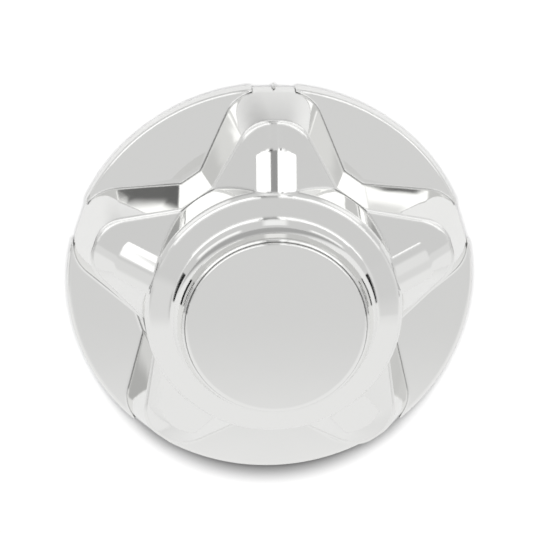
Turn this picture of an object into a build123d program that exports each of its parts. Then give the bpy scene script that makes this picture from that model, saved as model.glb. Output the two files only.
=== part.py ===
import os
from math import atan2, cos, degrees, hypot, radians, sin, sqrt, tan

from build123d import *

# Wheel centre cap, moulded in one piece: arms that cover the wheel nuts, round a drum with a bare disc.
# Millimetres and degrees. +Z is the outer side and one arm points along +Y. Heights are counted from the
# plane where the rim seats on the wheel, and the finished part is lifted to stand on its snap legs.

arm_count = 5
first_arm = 90.0                # direction of the arm that carries the index nib
wall = 2.4                      # moulded wall

# Flange
flange_radius = 90.0
rim_height = 7.0                # seat to the top of the panels
rim_chamfer = 0.8
notch_radius = 22.6             # gap round each arm end, between the tips of two panels
notch_centre = 68.2
notch_half_span = 6.2           # degrees, where the panel tips are cut off blunt

# Foot of the arms, where their walls rise from the panels
foot_reach = 88.6
foot_half_width = 16.4          # at the arm end, before rounding
foot_crotch_radius = 61.0
foot_crotch_half_span = 4.9     # degrees either side of the middle of a crotch
foot_round = 16.0

# Brow of the arms, where the walls turn into the roofs
brow_height = 20.0              # above the panels
brow_reach = 82.0
brow_half_width = 10.6
brow_crotch_radius = 57.9
brow_crotch_half_span = 8.1
brow_round = 14.0
brow_ledge = 0.9                # flat strip left between the brow and the roof
crotch_round = 2.0

# Roofs of the arms
roof_slope = 50.0
roof_rise = 18.4                # up to just under the ring of the drum
roof_hip_rise = 8.0             # up to where the round tip has narrowed into the crest
roof_root = 40.0                # inner end, hidden in the drum
roof_tip_round = 16.5
roof_crest_round = 37.0         # across the crest
roof_crest_half_width = 8.7     # where the crest breaks into the flanks
hollow_draft = 20.0             # degrees, inside of the arm walls

# Drum, heights above the panels
ring_outer_radius = 54.4
shoulder_step = 1.6             # the shoulder stands out past the ring
foot_step = 1.0                 # the foot stands out past the shoulder
drum_shoulder_height = 36.0
ring_outer_height = 38.1
ring_inner_radius = 45.1
ring_inner_height = 41.0
lip_radius = 40.3
lip_height = 53.4
cove_depth = 1.6
disc_radius = 38.9
disc_height = 54.8

# Snap legs on the back, one under each panel
leg_radius = 80.0               # inner face
leg_thickness = 2.6
leg_width = 16.0
leg_length = 9.0                # past the seat
barb_depth = 1.4
barb_height = 4.5
barb_crown = 2.0                # height of the crown above the leg's end

# Index nib on the end of the first arm
nib_width = 0.8
nib_height = 4.0
nib_proud = 1.8

arm_pitch = 360 / arm_count
panel_level = rim_height
panel_underside = panel_level - wall
brow_level = panel_level + brow_height
drum_shoulder_radius = ring_outer_radius + shoulder_step
drum_foot_radius = drum_shoulder_radius + foot_step

# Plan of a roof: its flanks run beside the brow, and its crest comes in by crest_run for each unit of rise
brow_crotch_angle = radians(arm_pitch / 2 - brow_crotch_half_span)
brow_crotch_x = brow_crotch_radius * cos(brow_crotch_angle)
brow_crotch_y = brow_crotch_radius * sin(brow_crotch_angle)
roof_flank = atan2(brow_crotch_y - brow_half_width, brow_reach - brow_crotch_x)
roof_apex = brow_reach + brow_half_width / tan(roof_flank) - brow_ledge / sin(roof_flank)
crest_run = 1 / tan(radians(roof_slope)) / sin(roof_flank)
crest_sink = roof_crest_half_width / tan(roof_flank) / hypot(crest_run, 1)


def polar(radius, angle):
    return (radius * cos(radians(angle)), radius * sin(radians(angle)))


def round_the_axis(shape, start):
    return [Rot(0, 0, start + arm * arm_pitch) * shape for arm in range(arm_count)]


def star(reach, half_width, crotch_radius, crotch_half_span, tip_round):
    # Outline of all the arms at one level.
    corner_radius = hypot(reach, half_width)
    corner_angle = degrees(atan2(half_width, reach))
    crotch_angle = arm_pitch / 2 - crotch_half_span
    points = []
    for arm in range(arm_count):
        turn = first_arm + arm * arm_pitch
        points.append(polar(crotch_radius, turn - crotch_angle))
        points.append(polar(corner_radius, turn - corner_angle))
        points.append(polar(corner_radius, turn + corner_angle))
        points.append(polar(crotch_radius, turn + crotch_angle))
    outline = Polygon(*points, align=None)
    outline = fillet(outline.vertices().filter_by(lambda v: hypot(v.X, v.Y) > reach), tip_round)
    inner = outline.vertices().filter_by(lambda v: hypot(v.X, v.Y) < crotch_radius + crotch_round)
    return fillet(inner, crotch_round)


foot = star(foot_reach, foot_half_width, foot_crotch_radius, foot_crotch_half_span, foot_round)
brow = star(brow_reach, brow_half_width, brow_crotch_radius, brow_crotch_half_span, brow_round)


def arm_walls():
    # Straight from the seat to the panels, then leaning in to the brow.
    lean = loft([Pos(0, 0, panel_level) * foot, Pos(0, 0, brow_level) * brow], ruled=True)
    return extrude(foot, panel_level) + lean


def arm_hollow():
    inner_foot = offset(foot, -wall, kind=Kind.INTERSECTION)
    inner_lean = extrude(Pos(0, 0, panel_level) * inner_foot, brow_height - wall, taper=hollow_draft)
    return extrude(inner_foot, panel_level) + inner_lean


def roof_plan(level):
    # One roof at a level above the brow: two flanks that meet in a point.
    tip = roof_apex - level * crest_run
    half = (tip - roof_root) * tan(roof_flank)
    plan = Polygon((tip, 0), (roof_root, half), (roof_root, -half), align=None)
    return Pos(0, 0, brow_level + level) * plan


def arm_roof():
    # Hipped roof: the round tip narrows into a crest, and the crest runs in to the drum. The crest is cut to
    # its round by a barrel that lies along it.
    tip = fillet(roof_plan(0).vertices().sort_by(Axis.X)[-1], roof_tip_round)
    crest_line = Vector(-crest_run, 0, 1) * (roof_rise - roof_hip_rise)
    crest = extrude(roof_plan(roof_hip_rise), crest_line.length, dir=crest_line)
    ridge = Plane(origin=(roof_apex, 0, brow_level), x_dir=(0, 1, 0), z_dir=crest_line)
    depth = crest_sink + sqrt(roof_crest_round**2 - roof_crest_half_width**2)
    barrel = Cylinder(roof_crest_round, flange_radius, align=(Align.CENTER, Align.CENTER, Align.MIN))
    crest &= ridge * Pos(0, depth) * barrel
    hip = loft([tip, crest.faces().sort_by(Axis.Z)[0]], ruled=True)
    return hip + crest


def roof_hollow():
    # The same form lower down, so that the flanks keep one wall.
    return Pos(0, 0, -wall / cos(radians(roof_slope))) * arm_roof()


def ring_points(inset):
    # Half section of the drum from its foot to the top of the ring.
    base = panel_level - inset
    return [
        (0, 0),
        (drum_foot_radius - inset, 0),
        (drum_foot_radius - inset, brow_level - inset),
        (drum_shoulder_radius - inset, base + drum_shoulder_height),
        (ring_outer_radius - inset, base + ring_outer_height),
        (ring_inner_radius - inset, base + ring_inner_height),
    ]


def drum():
    # Drum wall, shoulder, sloping ring, cove, lip and disc, turned about the axis.
    ring = ring_points(0)
    lip = (lip_radius, panel_level + lip_height)
    step = (disc_radius, panel_level + lip_height)
    disc = (disc_radius, panel_level + disc_height)
    profile = Polyline(*ring) + SagittaArc(ring[-1], lip, cove_depth)
    profile += Polyline(lip, step, disc, (0, panel_level + disc_height), (0, 0))
    return revolve(Plane.XZ * make_face(profile), Axis.Z)


def drum_hollow():
    # One wall inside the drum, with a plain taper behind the cove.
    top = panel_level + disc_height - wall
    section = Polygon(*ring_points(wall), (disc_radius - wall, top), (0, top), align=None)
    return revolve(Plane.XZ * section, Axis.Z)


def flange():
    plate = extrude(Circle(flange_radius), rim_height)
    plate = chamfer(plate.edges().group_by(Axis.Z)[-1], rim_chamfer)
    gap = Pos(notch_centre, 0) * Circle(notch_radius)
    past_rim = notch_centre + notch_radius + rim_height
    gap += Polygon((0, 0), polar(past_rim, -notch_half_span), polar(past_rim, notch_half_span), align=None)
    return plate - round_the_axis(extrude(gap, rim_height), first_arm)


def panel_pockets():
    # Hollows under the panels, between the rim and the walls of the arms.
    pocket = Circle(flange_radius - wall) - foot
    pocket -= round_the_axis(Pos(notch_centre, 0) * Circle(notch_radius + wall), first_arm)
    return extrude(pocket, panel_underside)


def snap_leg():
    back = leg_radius
    face = leg_radius + leg_thickness
    end = -leg_length
    profile = Polygon(
        (back, panel_underside),
        (face, panel_underside),
        (face, end + barb_height),
        (face + barb_depth, end + barb_crown),
        (face, end),
        (back, end),
        align=None,
    )
    return extrude(Plane.XZ * profile, leg_width / 2, both=True)


def index_nib():
    length = wall + nib_proud
    nib = Box(length, nib_width, nib_height, align=(Align.MIN, Align.CENTER, Align.MIN))
    return Rot(0, 0, first_arm) * Pos(foot_reach - wall, 0, 0) * nib


body = flange() + arm_walls() + drum()
body += round_the_axis(arm_roof(), first_arm)

hollow = arm_hollow() + drum_hollow()
hollow += round_the_axis(roof_hollow(), first_arm)

cap_shell = body - hollow - panel_pockets()
cap_shell += round_the_axis(snap_leg(), first_arm + arm_pitch / 2)
cap_shell += index_nib()
cap_shell = Pos(0, 0, leg_length) * cap_shell

os.makedirs("parts", exist_ok=True)
export_step(cap_shell, "parts/cap_shell.step")
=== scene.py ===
from math import degrees

import bpy
from mathutils import Matrix, Vector


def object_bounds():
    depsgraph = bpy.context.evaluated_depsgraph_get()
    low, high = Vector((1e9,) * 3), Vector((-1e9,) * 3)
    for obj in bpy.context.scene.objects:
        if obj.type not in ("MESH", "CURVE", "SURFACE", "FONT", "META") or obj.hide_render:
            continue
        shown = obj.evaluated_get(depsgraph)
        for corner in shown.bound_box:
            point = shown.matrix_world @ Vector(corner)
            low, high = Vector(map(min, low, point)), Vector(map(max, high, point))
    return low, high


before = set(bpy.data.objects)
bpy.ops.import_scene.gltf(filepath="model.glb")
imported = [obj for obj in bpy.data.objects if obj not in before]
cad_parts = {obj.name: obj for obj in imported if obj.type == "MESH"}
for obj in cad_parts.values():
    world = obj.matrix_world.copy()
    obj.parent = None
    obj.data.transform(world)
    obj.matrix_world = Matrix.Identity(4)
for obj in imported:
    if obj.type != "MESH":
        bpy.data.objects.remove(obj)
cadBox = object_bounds()
print("frame loaded:", sorted(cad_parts))


def addNode(tree, kind, **sockets):
    node = tree.nodes.new(kind)
    for name, value in sockets.items():
        node.inputs[name.replace("_", " ")].default_value = value
    return node


def wire(tree, socket, value):
    if isinstance(value, (int, float)):
        socket.default_value = value
    else:
        tree.links.new(value, socket)


def mathNode(tree, operation, *values):
    node = tree.nodes.new("ShaderNodeMath")
    node.operation = operation
    for socket, value in zip(node.inputs, values):
        wire(tree, socket, value)
    return node.outputs[0]


def mixTone(tree, share, first, second):
    node = tree.nodes.new("ShaderNodeMix")
    wire(tree, node.inputs["Factor"], share)
    wire(tree, node.inputs["A"], first)
    wire(tree, node.inputs["B"], second)
    return node.outputs["Result"]


def rangeNode(tree, value, start, end, low, high, smooth=False):
    node = addNode(tree, "ShaderNodeMapRange", From_Min=start, From_Max=end, To_Min=low, To_Max=high)
    node.interpolation_type = "SMOOTHSTEP" if smooth else "LINEAR"
    tree.links.new(value, node.inputs["Value"])
    return node.outputs["Result"]


def fade(tree, value, edge):
    return rangeNode(tree, value, *edge, 0, 1, smooth=True)


def coordinates(tree, kind):
    return tree.nodes.new("ShaderNodeTexCoord").outputs[kind]


def blankMaterial(name):
    material = bpy.data.materials.new(name)
    material.use_nodes = True
    tree = material.node_tree
    tree.nodes.clear()
    surface = tree.nodes.new("ShaderNodeOutputMaterial").inputs["Surface"]
    return material, tree, surface


# chrome plating on the moulded shell, with painted shade darkening its creases
chromePlate = {
    "color": (0.905, 0.905, 0.893, 1),
    "roughness": (0.03, 0.06),     # polish differs a little from place to place
    "polishScale": 38.0,
    "polishDetail": 4.0,
    "polishSpread": (0.3, 0.7),
    "rippleScale": 55.0,           # moulding ripple under the plating
    "rippleDetail": 1.0,
    "rippleDepth": 0.00002,
    "rippleStrength": 0.4,
    "edgeRadius": 0.002,           # soft look of the edges, in the shading only
    "paintedShadeReach": 0.0011,         # painted shade: thin dark line where two faces meet in a corner
    "paintedShadeOpen": (0.62, 0.84),
    "paintedShadeColor": (0.16, 0.16, 0.155, 1),
    "samples": 8,
}


# painted shade: the plating's colour darkens where faces close round a concave corner
def colorWithPaintedCreaseShade(tree, plate):
    creaseShade = addNode(tree, "ShaderNodeAmbientOcclusion", Distance=plate["paintedShadeReach"])
    creaseShade.only_local = True
    creaseShade.samples = plate["samples"]
    shadedPlating = tree.nodes.new("ShaderNodeMix")
    shadedPlating.data_type = "RGBA"
    shadedPlating.inputs["A"].default_value = plate["paintedShadeColor"]
    shadedPlating.inputs["B"].default_value = plate["color"]
    tree.links.new(fade(tree, creaseShade.outputs["AO"], plate["paintedShadeOpen"]), shadedPlating.inputs["Factor"])
    return shadedPlating.outputs["Result"]


def polishedRoughness(tree, place, plate):
    polish = addNode(tree, "ShaderNodeTexNoise", Scale=plate["polishScale"], Detail=plate["polishDetail"])
    tree.links.new(place, polish.inputs["Vector"])
    return rangeNode(tree, polish.outputs["Fac"], *plate["polishSpread"], *plate["roughness"])


def rippledNormal(tree, place, plate):
    ripple = addNode(tree, "ShaderNodeTexNoise", Scale=plate["rippleScale"], Detail=plate["rippleDetail"])
    tree.links.new(place, ripple.inputs["Vector"])
    edge = addNode(tree, "ShaderNodeBevel", Radius=plate["edgeRadius"])
    edge.samples = plate["samples"]
    bump = addNode(tree, "ShaderNodeBump", Strength=plate["rippleStrength"], Distance=plate["rippleDepth"])
    tree.links.new(ripple.outputs["Fac"], bump.inputs["Height"])
    tree.links.new(edge.outputs["Normal"], bump.inputs["Normal"])
    return bump.outputs["Normal"]


def makeChrome(plate):
    material, tree, surface = blankMaterial("chrome_plate")
    shader = addNode(tree, "ShaderNodeBsdfPrincipled", Metallic=1.0)
    place = coordinates(tree, "Object")
    tree.links.new(colorWithPaintedCreaseShade(tree, plate), shader.inputs["Base Color"])
    tree.links.new(polishedRoughness(tree, place, plate), shader.inputs["Roughness"])
    tree.links.new(rippledNormal(tree, place, plate), shader.inputs["Normal"])
    tree.links.new(shader.outputs["BSDF"], surface)
    return material


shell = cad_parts["cap_shell"]
shell.data.materials.clear()
shell.data.materials.append(makeChrome(chromePlate))
print("chrome plate on", shell.name)


discSides = 96


def layDisc(name, piece, material):
    x, y = piece["place"]
    bpy.ops.mesh.primitive_circle_add(
        vertices=discSides,
        radius=piece["radius"],
        fill_type="NGON",
        location=(x, y, cadBox[0].z - piece["under"]),
    )
    disc = bpy.context.object
    disc.name = name
    disc.data.materials.append(material)
    return disc


# pale floor, with painted shade in how the chrome mirrors it
studioFloor = {
    "place": (0, 0),
    "radius": 0.5,
    "under": 0.0002,
    "color": 0.97,
    "mirroredShadeTone": (0.77, 0.34),      # painted shade: the floor's tone as the chrome mirrors it, in front and far behind the cap
    "mirroredShadeEdge": (0.085, 0.18),
    "shadeSkew": -0.25,                 # the left side counts as further behind
}


def makeFloor(floor):
    material, tree, surface = blankMaterial("floor_paper")
    paper = tree.nodes.new("ShaderNodeBsdfDiffuse")
    split = tree.nodes.new("ShaderNodeSeparateXYZ")
    tree.links.new(coordinates(tree, "Object"), split.inputs[0])
    # painted shade: in reflections the floor darkens towards the back of the cap
    behind = mathNode(tree, "MULTIPLY_ADD", split.outputs["X"], floor["shadeSkew"], split.outputs["Y"])
    mirroredShadeTone = rangeNode(tree, behind, *floor["mirroredShadeEdge"], *floor["mirroredShadeTone"], smooth=True)
    path = tree.nodes.new("ShaderNodeLightPath")
    tone = mixTone(tree, path.outputs["Is Glossy Ray"], floor["color"], mirroredShadeTone)
    tree.links.new(tone, paper.inputs["Color"])
    tree.links.new(paper.outputs["BSDF"], surface)
    disc = layDisc("studio_floor", floor, material)


# lamp above and behind the cap, so that the shadow falls towards the front
keyLamp = {"place": (-0.15, 1.0, 2.75), "size": 0.8, "power": 80.0}


def makeLamp(lamp):
    data = bpy.data.lights.new("key_lamp", "AREA")
    data.size = lamp["size"]
    data.energy = lamp["power"]
    holder = bpy.data.objects.new("key_lamp", data)
    holder.location = lamp["place"]
    holder.rotation_euler = (-Vector(lamp["place"])).to_track_quat("-Z", "Y").to_euler()
    holder.visible_glossy = False
    bpy.context.scene.collection.objects.link(holder)


# painted shadow: a dark sheet out of sight on the floor, deepest in front of the cap, thinning at its edge
paintedShadowSheet = {
    "place": (0.001, -0.021),
    "radius": 0.088,
    "under": 0.0001,
    "color": (0.02, 0.02, 0.02, 1),
    "dense": 0.84,                 # share of the radius
    "thin": 0.15,                  # light let through where it is dense
}


def makePaintedShadow(shadowSheet):
    material, tree, surface = blankMaterial("painted_shadow_material")
    reach = tree.nodes.new("ShaderNodeVectorMath")
    reach.operation = "LENGTH"
    tree.links.new(coordinates(tree, "Object"), reach.inputs[0])
    edge = (shadowSheet["dense"] * shadowSheet["radius"], shadowSheet["radius"])
    clear = rangeNode(tree, reach.outputs["Value"], *edge, shadowSheet["thin"], 1, smooth=True)
    # painted shadow: near-black sheet, see-through towards its edge
    shadowDark = addNode(tree, "ShaderNodeBsdfDiffuse", Color=shadowSheet["color"])
    gap = tree.nodes.new("ShaderNodeBsdfTransparent")
    shadowMix = tree.nodes.new("ShaderNodeMixShader")
    for socket, source in zip(shadowMix.inputs, (clear, shadowDark.outputs[0], gap.outputs[0])):
        tree.links.new(source, socket)
    tree.links.new(shadowMix.outputs[0], surface)
    sheet = layDisc("painted_shadow_disc", shadowSheet, material)
    sheet.visible_camera = False
    sheet.visible_glossy = False


makeFloor(studioFloor)
makeLamp(keyLamp)
makePaintedShadow(paintedShadowSheet)
print("floor, lamp and net ready")


# soft tent that the chrome mirrors, darker at the back and lighter at the front
softTent = {
    "seen": 1.0,          # what the camera sees behind the floor
    "diffuse": 0.28,      # what it adds to the floor's light
    "back": 0.66,
    "top": 0.7,
    "front": 0.865,
    "side": 0.75,
    "lean": -0.35,        # how much height counts as back
    "topEdge": (-0.5, 0.04),
    "frontEdge": (0.05, 0.11),
    "sideEdge": (0.05, 0.30),
    "sideBackEdge": (-0.14, -0.07),
    "sideFrontEdge": (0.1, 0.2),
}
# light boxes and gaps in the tent, fitted to the photograph's view: turn from +Y towards -X and tilt from
# upright, in degrees, with the width of the soft edge of each
tentPatches = {
    "left_box": {"turn": (7, 78), "tilt": (24.5, 58.5), "tone": 1.35, "soft": (1, 1)},
    "left_glow": {"turn": (76, 93), "tilt": (44, 57), "tone": 0.82, "soft": (2, 4)},
    "left_wing": {"turn": (72, 91), "tilt": (50.3, 52.4), "tone": 1.35, "soft": (1.5, 1)},
    "left_shade": {"turn": (105, 122), "tilt": (42, 52), "tone": 0.5, "soft": (6, 5)},
    "right_box": {"turn": (-66, -7), "tilt": (24.5, 58.5), "tone": 1.35, "soft": (1, 1)},
    "right_wing": {"turn": (-84, -64), "tilt": (31, 50), "tone": 1.35, "soft": (2, 2)},
    "right_glow": {"turn": (-99, -84), "tilt": (38, 62), "tone": 0.82, "soft": (5, 6)},
    "right_shade": {"turn": (-130, -100), "tilt": (28, 43), "tone": 0.67, "soft": (6, 5)},
    "right_line": {"turn": (-14.5, -11), "tilt": (46, 57), "tone": 0.12, "soft": (0.8, 2)},
    "right_soft": {"turn": (-25, -18.5), "tilt": (44, 54), "tone": 0.9, "soft": (3, 4)},
    "back_strip": {"turn": (-11, 7), "tilt": (62.5, 88), "tone": 0.95, "soft": (5, 3)},
    "back_left": {"turn": (26, 66), "tilt": (85, 93), "tone": 1.05, "soft": (5, 2)},
    "back_right": {"turn": (-58, -30), "tilt": (88, 94), "tone": 1.05, "soft": (5, 1.5)},
    "middle_bar": {"turn": (-7, 7), "tilt": (28, 46), "tone": 0.33, "soft": (1.5, 1.5)},
    "dark_corner": {"turn": (3.5, 10.5), "tilt": (42.5, 57.8), "tone": 0.16, "soft": (4, 1)},
    "dark_end": {"turn": (5, 12), "tilt": (44, 48.5), "tone": 0.15, "soft": (3, 2)},
    "left_gap": {"turn": (81, 102), "tilt": (80, 92), "tone": 0.02, "soft": (1, 1)},
    "right_gap": {"turn": (-104, -84), "tilt": (88, 98), "tone": 0.02, "soft": (1, 1)},
}


def tentTone(tree, x, y, z, tent):
    forward = mathNode(tree, "SUBTRACT", mathNode(tree, "MULTIPLY", z, tent["lean"]), y)
    middle = rangeNode(tree, forward, *tent["topEdge"], tent["back"], tent["top"])
    middle = mixTone(tree, fade(tree, forward, tent["frontEdge"]), middle, tent["front"])
    flank = mixTone(tree, fade(tree, forward, tent["sideBackEdge"]), tent["back"], tent["side"])
    flank = mixTone(tree, fade(tree, forward, tent["sideFrontEdge"]), flank, tent["front"])
    sideways = mathNode(tree, "MULTIPLY", x, x)
    return mixTone(tree, fade(tree, sideways, tent["sideEdge"]), middle, flank)


def patchShare(tree, turn, tilt, patch):
    share = 1.0
    for angle, (start, end), soft in zip((turn, tilt), (patch["turn"], patch["tilt"]), patch["soft"]):
        fromMiddle = mathNode(tree, "ABSOLUTE", mathNode(tree, "SUBTRACT", angle, (start + end) / 2))
        edge = (end - start) / 2
        inside = rangeNode(tree, fromMiddle, edge - soft / 2, edge + soft / 2, 1, 0, smooth=True)
        share = mathNode(tree, "MULTIPLY", inside, share)
    return share


def makeTent(tent, patches):
    world = bpy.data.worlds.new("soft_tent")
    bpy.context.scene.world = world
    world.use_nodes = True
    tree = world.node_tree
    tree.nodes.clear()
    out = tree.nodes.new("ShaderNodeOutputWorld")
    split = tree.nodes.new("ShaderNodeSeparateXYZ")
    tree.links.new(coordinates(tree, "Generated"), split.inputs[0])
    x, y, z = split.outputs
    tone = tentTone(tree, x, y, z, tent)
    turn = mathNode(tree, "ARCTAN2", mathNode(tree, "MULTIPLY", x, -1.0), y)
    turn = mathNode(tree, "MULTIPLY", turn, degrees(1))
    tilt = mathNode(tree, "MULTIPLY", mathNode(tree, "ARCCOSINE", z), degrees(1))
    for patch in patches.values():
        tone = mixTone(tree, patchShare(tree, turn, tilt, patch), tone, patch["tone"])
    path = tree.nodes.new("ShaderNodeLightPath")
    strength = mixTone(tree, path.outputs["Is Glossy Ray"], tent["diffuse"], tone)
    strength = mixTone(tree, path.outputs["Is Camera Ray"], strength, tent["seen"])
    glow = addNode(tree, "ShaderNodeBackground", Color=(1, 1, 1, 1))
    tree.links.new(strength, glow.inputs["Strength"])
    tree.links.new(glow.outputs["Background"], out.inputs["Surface"])


makeTent(softTent, tentPatches)
print("tent ready, patches:", len(tentPatches))


# camera, looking down on the cap as the photograph does
viewer = {
    "target": (0, 0, 0.016),
    "toward": (-0.051, 0.366, 0.929),
    "up": (-0.019, 1, 0),
    "distance": 1.4,
    "lens": 212.96,
    "sensor": 36,
    "shift": (-0.00675, 0.0283),
    "clip": (0.05, 50),
}


def makeCamera(view):
    data = bpy.data.cameras.new("viewer")
    data.lens = view["lens"]
    data.sensor_width = view["sensor"]
    data.shift_x, data.shift_y = view["shift"]
    data.clip_start, data.clip_end = view["clip"]
    camera = bpy.data.objects.new("viewer", data)
    back = Vector(view["toward"]).normalized()
    right = Vector(view["up"]).cross(back).normalized()
    turn = Matrix((right, back.cross(right), back)).transposed().to_4x4()
    camera.matrix_world = Matrix.Translation(Vector(view["target"]) + back * view["distance"]) @ turn
    bpy.context.scene.collection.objects.link(camera)
    bpy.context.scene.camera = camera


makeCamera(viewer)
bpy.context.scene.view_settings.view_transform = "Standard"
print("camera set")
